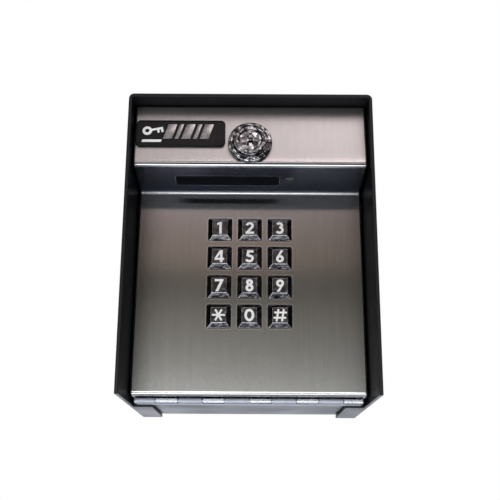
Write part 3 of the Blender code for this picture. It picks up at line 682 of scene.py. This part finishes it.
FIGURES = {  # the patches that make each figure, upright and centred on its key
    "key_1": lambda: [patch((1.05, -3.7), (1.05, 3.7), (-0.15, 3.7), (-1.7, 2.9), (-1.7, 1.55),
                            (-0.4, 2.1), (-0.4, -3.7))],
    "key_2": lambda: [stroke(arc(-0.05, 1.4, 1.65, 1.58, 175, -38) + [(-1.95, -3.2)]),
                      bar(-2.55, -3.7, 2.45, -2.35)],
    "key_3": lambda: [stroke(arc(-0.2, 1.68, 1.45, 1.3, 150, -90)),
                      stroke(arc(-0.2, -1.28, 1.8, 1.7, 90, -150))],
    "key_4": lambda: [bar(0.35, -3.7, 1.8, 3.7),
                      patch((0.2, 3.7), (1.7, 3.7), (-1.4, -1.24), (-2.85, -1.2)),
                      patch((-2.85, -2.35), (2.75, -2.35), (2.75, -1.0), (-2.73, -1.0),
                            (-2.85, -1.2))],
    "key_5": lambda: [bar(-1.5, 2.35, 2.2, 3.7),
                      patch((-1.5, 3.7), (-0.1, 3.7), (-0.45, 0.35), (-2.0, 0.1)),
                      stroke(arc(-0.25, -1.3, 1.95, 1.7, 122, -155))],
    "key_6": six,
    "key_7": lambda: [patch((-2.5, 3.7), (2.6, 3.7), (2.6, 3.15), (-0.35, -3.7), (-2.0, -3.7),
                            (0.65, 2.35), (-2.5, 2.35))],
    "key_8": lambda: [ring(0, 1.85, 1.3, 1.13), ring(0, -1.45, 1.6, 1.53)],
    "key_9": nine,
    "key_0": lambda: [ring(0, 0, 2.1, 2.98)],
    "key_star": lambda: [spoke(0), spoke(60), spoke(120)],
    "key_hash": lambda: [stroke([(-2.15, -3.6), (-1.0, 3.6)], THIN),
                         stroke([(0.95, -3.6), (2.1, 3.6)], THIN),
                         stroke([(-3.9, -1.5), (3.4, -1.5)], THIN),
                         stroke([(-3.4, 1.6), (3.9, 1.6)], THIN)],
}


def key_figures():
    """The white figure let into the top of each key."""
    for key in key_bodies:
        patches = FIGURES[key]()
        bm = combine("UNION", *patches) if len(patches) > 1 else patches[0]
        name = key.replace("key", "figure")
        piece(name, bm, face_frame(key, KEY_OUT), "figure_white", key)


# ---------------------------------------------------------------- lock

def wave(start, end, rise, steps=8):
    """Points of a soft hump between two (radius, z) places."""
    points = []
    for i in range(steps + 1):
        t = i / steps
        radius = start[0] + (end[0] - start[0]) * t
        z = start[1] + (end[1] - start[1]) * t
        points.append((radius, z + rise * math.sin(math.pi * t)))
    return points


def round_over(radius, z, size, start, end):
    """An arc of a turned profile about (radius, z), between two angles in degrees."""
    return arc(radius, z, size, size, start, end, 6)


LOCK_TOP = reach("lock_housing", LOCK_OUT)[1] - LOCK.translation.dot(LOCK_OUT)
LOCK_BACK = reach("lock_housing", LOCK_OUT)[0] - LOCK.translation.dot(LOCK_OUT)
PLUG_BACK = reach("lock_plug", LOCK_OUT)[0] - LOCK.translation.dot(LOCK_OUT)
FLANGE_RADIUS = size_along("lock_housing", RIGHT) / 2
PLUG_RADIUS = size_along("lock_plug", RIGHT) / 2
BODY_RADIUS = 9.5 * MM
THREAD_TOP = -4.0 * MM              # where the barrel's thread starts, behind the faceplate
THREAD_PITCH = 1.0 * MM
KEYWAY_DEPTH = 9 * MM
KEYWAY = ((1.1, -4.9), (1.1, -3.3), (1.9, -2.6), (1.9, -1.3), (0.9, -0.5), (0.9, 0.8), (1.6, 1.5),
          (1.6, 3.0), (0.9, 3.7), (0.9, 4.9), (-0.9, 4.9), (-0.9, 3.2), (-1.7, 2.5), (-1.7, 1.1),
          (-0.8, 0.3), (-0.8, -1.3), (-1.9, -2.1), (-1.9, -3.4), (-1.0, -4.0), (-1.0, -4.9))


def lock_housing():
    """The flange with its rolled rim and groove, the domed ring around the plug, and the barrel."""
    bore = PLUG_RADIUS + 0.3 * MM
    foot = 0.3 * MM
    profile = round_over(bore + 0.35 * MM, LOCK_TOP - 0.35 * MM, 0.35 * MM, 180, 90)
    profile += wave((bore + 0.6 * MM, LOCK_TOP - 0.1 * MM),
                    (BODY_RADIUS - 0.5 * MM, LOCK_TOP - 0.35 * MM), 0.12 * MM)
    profile += round_over(BODY_RADIUS - 0.6 * MM, LOCK_TOP - 0.95 * MM, 0.6 * MM, 80, 0)
    profile += [(BODY_RADIUS, 3.2 * MM), (BODY_RADIUS + 0.25 * MM, 2.9 * MM)]
    profile += wave((BODY_RADIUS + 0.45 * MM, 2.95 * MM), (FLANGE_RADIUS - 1.0 * MM, 3.0 * MM),
                    0.55 * MM)
    profile += round_over(FLANGE_RADIUS - 1.3 * MM, 1.75 * MM, 1.3 * MM, 75, 0)
    profile += [(FLANGE_RADIUS, foot), (BODY_RADIUS, foot)]
    for n in range(int((THREAD_TOP - LOCK_BACK) / THREAD_PITCH)):
        z = THREAD_TOP - n * THREAD_PITCH
        profile += [(BODY_RADIUS, z), (BODY_RADIUS - 0.45 * MM, z - THREAD_PITCH / 2)]
    profile += [(BODY_RADIUS, LOCK_BACK + 0.3 * MM), (BODY_RADIUS - 0.3 * MM, LOCK_BACK),
                (bore, LOCK_BACK)]
    housing = turned(profile, 112, closed=True)
    piece("lock_case", housing, LOCK, "chrome", "door", 40, "lock_housing")


def lock_core():
    """The plug: a slightly domed face with a wavy keyway, its wafers, and the tang behind."""
    face = LOCK_TOP - 0.5 * MM
    dome = 0.25 * MM
    tang, bore = 3.8 * MM, 1.8 * MM
    shoulder, bore_end = LOCK_BACK - 0.3 * MM, PLUG_BACK + 8 * MM
    domed = 6                       # millimetres of the face's radius that the dome covers
    profile = [(r * MM, face + dome * (1 - (r / domed) ** 2)) for r in range(domed)]
    profile += round_over(PLUG_RADIUS - 0.45 * MM, face - 0.45 * MM, 0.45 * MM, 90, 0)
    profile += [(PLUG_RADIUS, shoulder), (tang, shoulder), (tang, PLUG_BACK), (bore, PLUG_BACK),
                (bore, bore_end), (0, bore_end)]
    keyway = prism(mm(*KEYWAY), face - KEYWAY_DEPTH, face + MM)
    body = combine("DIFFERENCE", turned(profile, 96), keyway)
    piece("lock_core", body, LOCK, "chrome", "lock", 30, "lock_plug")
    wafers = bmesh.new()
    for n, offset in enumerate((0.5, -0.4, 0.2, -0.6)):
        z = face - (1.6 + 1.5 * n) * MM
        for low, high in ((-5.4, -1.6), (1.9, 5.2)):
            merge(wafers, block((-2.6 * MM, (offset + low) * MM, z - 0.35 * MM),
                                (2.6 * MM, (offset + high) * MM, z), 0.08 * MM))
    piece("lock_wafers", wafers, LOCK, "zinc_steel", "lock")


# ---------------------------------------------------------------- badge

def badge():
    """A black plate with a raised rim, a key pictogram, slanted bars and a line: no lettering."""
    at = face_frame("badge", LOCK_OUT)
    up = at.col[1].to_3d()
    width, height = size_along("badge", RIGHT), size_along("badge", up)
    thick = size_along("badge", LOCK_OUT)
    corner, rim, recess = 2.8 * MM, 0.75 * MM, 0.35 * MM
    plate = prism(rounded_box(width, height, corner, 8), -thick, 0, 0.3 * MM)
    field = prism(rounded_box(width - 2 * rim, height - 2 * rim, corner - rim, 8), -recess, MM)
    plate = combine("DIFFERENCE", plate, field)
    piece("badge_plate", plate, at, "black_plastic", "door", 35, "badge")

    low, high = -recess - 0.1 * MM, -0.02 * MM
    slant, tall, middle = math.tan(math.radians(17)), 9.6 * MM, 0.9 * MM
    bars = bmesh.new()
    for left, wide in ((-8.6, 5.2), (-1.9, 2.4), (2.0, 5.2), (8.7, 2.4), (12.6, 5.2)):
        corners = [(left * MM + side * wide * MM + slant * y, y + middle)
                   for side, y in ((0, -tall / 2), (1, -tall / 2), (1, tall / 2), (0, tall / 2))]
        merge(bars, prism(corners, low, high, 0.15 * MM))
    piece("badge_bars", bars, at, "badge_silver", "door")
    line = prism(mm((-22.4, -6.1), (-11.2, -6.1), (-10.7, -4.5), (-21.9, -4.5)), low, high,
                 0.15 * MM)
    piece("badge_line", line, at, "figure_white", "door")

    inner, outer, ease = 1.25 * MM, 2.8 * MM, 0.15 * MM
    bow = turned([(inner, high), (2.5 * MM, high), (outer, high - ease), (outer, low),
                  (inner, low)], 40, closed=True)
    shaft = block((2.2 * MM, -0.65 * MM, low), (9.2 * MM, 0.65 * MM, high), 0.12 * MM)
    teeth = [block((x * MM, -2.6 * MM, low), ((x + 1.3) * MM, 0, high), 0.12 * MM)
             for x in (5.6, 7.9)]
    key = combine("UNION", bow, shaft, *teeth)
    piece("badge_key", key, at @ shift(-19.3 * MM, 1.3 * MM, 0, 12), "figure_white", "door")


# ---------------------------------------------------------------- fasteners

def screw_head(radius, rise, recess):
    """A pan head that stands on z = 0, with a cross recess."""
    profile = [(0, rise)]
    for angle in (20, 40, 60, 80):
        a = math.radians(angle)
        profile.append((radius * math.sin(a) * 0.98, rise * (0.45 + 0.55 * math.cos(a))))
    profile += [(radius, rise * 0.4), (radius, 0), (0, 0)]
    cut = cross(recess, recess * 0.26, rise * 0.35, rise * 1.5)
    return combine("DIFFERENCE", turned(profile, 32), *cut)


def thread(radius, low, high, pitch, depth):
    """A shank with grooves all the way along it."""
    profile = [(0, high), (radius - depth, high)]
    z = high
    while z - pitch > low:
        profile += [(radius, z - pitch / 2), (radius - depth, z - pitch)]
        z -= pitch
    profile += [(radius - depth, low), (0, low)]
    return turned(profile, 24)


def screw(name, node, out, rise, recess):
    """A pan-head screw in place of a plain one."""
    length, radius = size_along(node, out), size_along(node, RIGHT) / 2
    bm = screw_head(radius, rise, recess)
    merge(bm, thread(radius=1.4 * MM, low=rise - length, high=0.05 * MM, pitch=0.5 * MM,
                     depth=0.18 * MM))
    at = face_frame(node, out) @ shift(0, 0, -rise)
    piece(name, bm, at, "zinc_steel", body_of[node], 35, node)


def ground_stud():
    """The threaded stud inside the back panel."""
    out = Vector((0, -1, 0))
    length = size_along("ground_stud", out)
    radius, flare = 2.0 * MM, 3.2 * MM
    bm = thread(radius, low=-length + 1.2 * MM, high=-0.4 * MM, pitch=0.7 * MM, depth=0.28 * MM)
    shoulder = -length + 1.25 * MM
    merge(bm, turned([(0, shoulder), (radius, shoulder), (flare, -length), (0, -length)], 32))
    at = face_frame("ground_stud", out)
    piece("ground_thread", bm, at, "zinc_steel", "case", 35, "ground_stud")


# ---------------------------------------------------------------- boards

def chip(length, width, height, pins, pitch):
    """A moulded package with gull-wing leads along its two long sides, as (package, leads)."""
    package = block((-length / 2, -width / 2, 0.15 * MM), (length / 2, width / 2, height), 0.2 * MM)
    dot = disc(0.5 * MM, height - 0.15 * MM, height + MM)
    dot.transform(shift(-length / 2 + 1.3 * MM, -width / 2 + 1.3 * MM))
    package = combine("DIFFERENCE", package, dot)
    leads = bmesh.new()
    for n in range(pins):
        x = (n - (pins - 1) / 2) * pitch
        for side in (-1, 1):
            inner, outer = side * width / 2, side * (width / 2 + 1.2 * MM)
            bend = (inner + outer) / 2
            path = [(x, inner - side * 0.2 * MM, height / 2), (x, bend, height / 2),
                    (x, bend + side * 0.1 * MM, 0.12 * MM), (x, outer + side * 0.3 * MM, 0.1 * MM)]
            merge(leads, tube(path, 0.16 * MM, 6))
    return package, leads


def capacitor(radius, height):
    """An electrolytic can with its rolled groove and crimped top, as (sleeve, top)."""
    groove, crimp = 1.6 * MM, radius - 0.9 * MM
    profile = [(crimp, height), (radius - 0.3 * MM, height), (radius, height - 0.35 * MM),
               (radius, groove + 0.5 * MM), (radius - 0.35 * MM, groove),
               (radius, groove - 0.5 * MM), (radius, 0), (0, 0), (0, height - 0.3 * MM),
               (crimp, height - 0.3 * MM)]
    top = disc(radius - 1.0 * MM, height - 0.5 * MM, height - 0.15 * MM, 40)
    scores = cross(radius * 0.6, 0.12 * MM, height - 0.25 * MM, height + MM)
    return turned(profile, 40), combine("DIFFERENCE", top, *scores)


def resistor():
    """A barrel resistor lying along X on bent leads, as (body, leads)."""
    body = turned(mm((0, 3.2), (0.8, 3.1), (1.15, 2.6), (0.95, 1.8), (0.95, -1.8), (1.15, -2.6),
                     (0.8, -3.1), (0, -3.2)), 24)
    body.transform(Matrix.Translation((0, 0, 1.3 * MM)) @ Matrix.Rotation(math.pi / 2, 4, "Y"))
    leads = bmesh.new()
    for side in (-1, 1):
        path = mm((side * 3.0, 0, 1.3), (side * 4.6, 0, 1.3), (side * 5.0, 0, 0.9),
                  (side * 5.0, 0, -0.1))
        merge(leads, tube(path, 0.28 * MM, 8))
    return body, leads


def pin_header(count, pitch=2.54 * MM):
    """A shrouded header, as (shroud, pins)."""
    wall, half, deep, high = 0.9 * MM, count * pitch / 2 + 0.6 * MM, 3.0 * MM, 8 * MM
    pocket = block((-half + wall, -deep + wall, 2 * MM), (half - wall, deep - wall, high + MM))
    notch = block((-2 * MM, -deep - MM, 3 * MM), (2 * MM, -deep + 1.5 * MM, high + MM))
    outside = block((-half, -deep, 0), (half, deep, high), 0.25 * MM)
    pins = bmesh.new()
    for n in range(count):
        x = (n - (count - 1) / 2) * pitch
        merge(pins, block((x - 0.32 * MM, -0.32 * MM, 1 * MM),
                          (x + 0.32 * MM, 0.32 * MM, high - 1 * MM), 0.12 * MM))
    return combine("DIFFERENCE", outside, pocket, notch), pins


# The control board's layout in millimetres, with Y running down the board
CHIPS = (  # x, y, turn, length, width, height, pins on a side, pitch
    (-12, -6, 0, 18, 10.2, 2.6, 12, 1.27),
    (14, -12, 90, 10, 6.2, 1.8, 7, 1.27),
    (28, -12, 90, 5, 4.2, 1.6, 4, 1.27),
    (-30, 14, 0, 5, 4.2, 1.6, 4, 1.27),
)
CAPACITORS = ((2, 14, 5, 12.5), (14, 12, 4, 11), (24, 12, 3.2, 8), (-38, 30, 3.2, 8))
RESISTORS = 7
SMALL_PARTS = 26


def control_board_parts():
    """What stands on the back of the control board."""
    at = face_frame("control_board", -KEY_OUT)
    black, metal, grey = bmesh.new(), bmesh.new(), bmesh.new()
    for x, y, turn, length, width, height, pins, pitch in CHIPS:
        package, leads = chip(length * MM, width * MM, height * MM, pins, pitch * MM)
        merge(black, package, at @ shift(x * MM, y * MM, 0, turn))
        merge(metal, leads, at @ shift(x * MM, y * MM, 0, turn))
    for x, y, radius, height in CAPACITORS:
        sleeve, top = capacitor(radius * MM, height * MM)
        merge(black, sleeve, at @ shift(x * MM, y * MM))
        merge(metal, top, at @ shift(x * MM, y * MM, 0, 30))
    for n in range(RESISTORS):
        body, leads = resistor()
        place = at @ shift((-32 + 4.2 * n) * MM, -26 * MM, 0, 90)
        merge(grey, body, place)
        merge(metal, leads, place)
    shroud, pins = pin_header(8)
    place = at @ shift(20 * MM, -34 * MM)
    merge(black, shroud, place)
    merge(metal, pins, place)
    crystal = prism(rounded_box(11 * MM, 4.6 * MM, 2.2 * MM), 0, 3.5 * MM, 0.4 * MM)
    merge(metal, crystal, at @ shift(-32 * MM, 3 * MM))
    for n in range(SMALL_PARTS):
        x, y = -40 + (n * 37 % 79), (-18, 4, 22)[n % 3] + (n * 7 % 5)
        small = block((-0.9 * MM, -0.5 * MM, 0), (0.9 * MM, 0.5 * MM, 0.6 * MM), 0.1 * MM)
        merge(grey, small, at @ shift(x * MM, y * MM, 0, 90 * (n % 2)))
    piece("board_chips", black, Matrix(), "black_plastic", "door")
    piece("board_leads", metal, Matrix(), "zinc_steel", "door")
    piece("board_resistors", grey, Matrix(), "cable_grey", "door")


TERMINALS = 6


def terminal_screws():
    """Slotted clamp screws in the wells of the terminal block."""
    at = face_frame("terminal_block", -KEY_OUT)
    pitch = size_along("terminal_block", RIGHT) / TERMINALS
    screws = bmesh.new()
    for n in range(TERMINALS):
        head = turned(mm((0, 0), (1.2, 0), (1.45, -0.25), (1.45, -2.4), (0, -2.4)), 24)
        slit = block((-2 * MM, -0.2 * MM, -0.7 * MM), (2 * MM, 0.2 * MM, MM))
        place = shift((n - (TERMINALS - 1) / 2) * pitch, -1.5 * MM, -1.0 * MM, 35 * n % 90)
        merge(screws, combine("DIFFERENCE", head, slit), at @ place)
    piece("terminal_screws", screws, Matrix(), "zinc_steel", "door")


FIRST_LAMP, LAMP_PITCH, LAMPS = -34, 6.2, 10    # along the lamp board, in millimetres
LAMP_TAILS = 4                                  # of each lamp, either side of the middle


def lamp_board_parts():
    """Solder tails and driver parts on the back of the lamp board."""
    at = face_frame("lamp_board", -SOFFIT_OUT)
    metal, black = bmesh.new(), bmesh.new()
    for n in range(LAMPS):
        x = (FIRST_LAMP + LAMP_PITCH * n) * MM
        for y in (-LAMP_TAILS * MM, LAMP_TAILS * MM):
            joint = turned(mm((0, 0.9), (0.35, 0.75), (0.5, 0.35), (1.0, 0), (0, 0)), 16)
            merge(metal, joint, at @ shift(x, y))
    for x in (-20, 0, 18):
        driver = block((-1.6 * MM, -0.9 * MM, 0), (1.6 * MM, 0.9 * MM, 0.7 * MM), 0.12 * MM)
        merge(black, driver, at @ shift(x * MM, 0))
    piece("lamp_joints", metal, Matrix(), "zinc_steel", "door")
    piece("lamp_resistors", black, Matrix(), "black_plastic", "door")


# ---------------------------------------------------------------- stage

FLOOR_DROP = 0.214      # below the unit's bottom edge, so that the opened faceplate hangs clear
FLOOR_SIZE = 12


def floor():
    """A pale floor well below the unit."""
    bpy.ops.mesh.primitive_plane_add(size=FLOOR_SIZE, location=(0, 0, cad_box[0][2] - FLOOR_DROP))
    plane = bpy.context.object
    plane.name = "floor"
    s = Shader("floor_pale")
    s.set("Base Color", s.cloud(3, 3, 0.84, 0.88))
    s.set("Roughness", 0.7)
    plane.data.materials.append(s.material)
    plane.visible_glossy = False    # metal reflects the studio's own floor, in world(), instead


def card(name, place, size, towards, radiance):
    """A glowing card that only reflections see, for the highlights on edges and bends."""
    bpy.ops.mesh.primitive_plane_add(size=1, location=place)
    made = bpy.context.object
    made.name = name
    made.scale = (*size, 1)
    turn = (Vector(towards) - Vector(place)).to_track_quat("Z", "Y")
    made.rotation_euler = turn.to_euler()
    s = Shader(name)
    s.set("Base Color", (0, 0, 0, 1))
    s.set("Emission Color", (1, 1, 1, 1))
    s.set("Emission Strength", radiance)
    made.data.materials.append(s.material)
    made.visible_camera = made.visible_diffuse = made.visible_shadow = False


def cards():
    """A low strip for the bend and hinge at the bottom, and one aside for the case's left edge."""
    foot = cad_box[0][2]
    card("low_card", (0, -0.205, foot - 0.036), (0.5, 0.042), (0, -0.09, foot), 4.0)
    card("side_card", (-1.0, 0.12, foot + 0.29), (0.25, 0.12), (-0.07, -0.127, foot + 0.05), 25.0)


FRONT = (  # elevation in degrees, brightness: what metal reflects from in front of the unit
    (-90, (0.25, 0.25, 0.27)),
    (-76, (0.30, 0.30, 0.32)),
    (-68, (2.4, 2.4, 2.5)),
    (-49, (2.4, 2.4, 2.5)),
    (-44, (0.07, 0.08, 0.12)),
    (-22, (0.04, 0.05, 0.08)),
    (-15, (0.03, 0.032, 0.04)),
    (-6, (0.03, 0.032, 0.04)),
    (-2, (1.0, 1.0, 1.0)),
    (8, (1.2, 1.2, 1.18)),
    (10.6, (0.75, 0.75, 0.72)),
    (11.6, (0.58, 0.58, 0.54)),
    (12.7, (0.45, 0.44, 0.41)),
    (14.0, (0.37, 0.355, 0.32)),
    (15.9, (0.27, 0.25, 0.225)),
    (17.6, (0.215, 0.205, 0.18)),
    (18.2, (0.07, 0.065, 0.055)),
    (19.0, (0.07, 0.065, 0.055)),
    (19.7, (0.36, 0.30, 0.25)),
    (22.0, (0.34, 0.26, 0.23)),
    (24.0, (0.48, 0.42, 0.42)),
    (33.5, (1.0, 0.85, 0.84)),
    (34.8, (1.8, 1.56, 1.57)),
    (36.2, (2.5, 2.17, 2.19)),
    (37.0, (0.45, 0.37, 0.37)),
    (39.0, (0.55, 0.46, 0.46)),
    (43.0, (2.4, 2.1, 2.1)),
    (60.0, (0.9, 0.86, 0.86)),
    (90, (0.8, 0.8, 0.8)),
)
BACK = (  # the same from behind it
    (-90, (0.30, 0.30, 0.32)),
    (-26, (0.50, 0.51, 0.55)),
    (-12, (2.0, 2.1, 2.35)),
    (-3, (2.0, 2.1, 2.35)),
    (3, (1.0, 1.0, 1.0)),
    (30, (0.9, 0.9, 0.92)),
    (90, (0.8, 0.8, 0.8)),
)
PLAIN = 0.95            # brightness of the studio for everything that isn't a reflection


def world():
    """White to the camera, even on matt things, and a studio that changes with height to metal."""
    made = bpy.data.worlds.new("studio")
    bpy.context.scene.world = made
    made.use_nodes = True
    made.node_tree.nodes.clear()
    s = Nodes(made.node_tree)

    def sky(stops):
        return s.ramp(height, *((math.sin(math.radians(angle)) / 2 + 0.5, colour)
                                for angle, colour in stops))

    def glow(colour):
        return s.node("Background", Color=colour, Strength=1.0)

    def choose(choice, one, other):
        mixed = s.node("MixShader", Fac=choice)
        s.put(mixed.inputs[1], one.outputs[0])
        s.put(mixed.inputs[2], other.outputs[0])
        return mixed

    where = s.node("TexCoord").outputs["Generated"]
    x, y, z = (s.axis(where, name) for name in "XYZ")
    height = s.spread(z, -1.0, 1.0)
    behind = s.spread(y, -0.25, 0.15, kind="SMOOTHSTEP")
    low = s.spread(z, 0.54, 0.42)
    dim_right = s.spread(x, -0.1, 0.35, 1.16, 0.35, "SMOOTHSTEP")
    dim_left = s.spread(x, -0.2, 0.15, 0.25, 1.55, "SMOOTHSTEP")
    front = s.node("MixRGB", {"blend_type": "MULTIPLY"}, Fac=1.0, Color1=sky(FRONT),
                   Color2=s.mix(low, dim_left, dim_right)).outputs[0]
    reflected = glow(s.mix(behind, front, sky(BACK)))
    rays = s.node("LightPath")
    unseen = choose(rays.outputs["Is Glossy Ray"], glow((PLAIN, PLAIN, PLAIN, 1)), reflected)
    shown = choose(rays.outputs["Is Camera Ray"], unseen, glow((1, 1, 1, 1)))
    s.put(s.node("OutputWorld").inputs[0], shown.outputs[0])


CAMERA_PLACE = (0.0010, -0.5685, -0.1389)
CAMERA_UP = 16.53       # degrees that it looks up
CAMERA_ROLL = -0.34
CAMERA_LENS = 60.9
CAMERA_SENSOR = 36


def camera():
    """Below the unit and looking up at it."""
    data = bpy.data.cameras.new("camera")
    data.lens = CAMERA_LENS
    data.sensor_width = CAMERA_SENSOR
    view = bpy.data.objects.new("camera", data)
    bpy.context.scene.collection.objects.link(view)
    view.location = CAMERA_PLACE
    view.rotation_euler = (math.radians(90 + CAMERA_UP), math.radians(CAMERA_ROLL), 0)
    bpy.context.scene.camera = view


finish_cad_nodes()
key_figures()
lock_housing()
lock_core()
badge()
for number in range(1, 5):
    screw(f"cross_screw_{number}", f"board_screw_{number}", -KEY_OUT, 2.0 * MM, 1.5 * MM)
screw("cam_bolt", "cam_screw", -LOCK_OUT, 2.6 * MM, 2.2 * MM)
ground_stud()
control_board_parts()
terminal_screws()
lamp_board_parts()

floor()
cards()
world()
camera()
bpy.context.scene.view_settings.view_transform = "Standard"
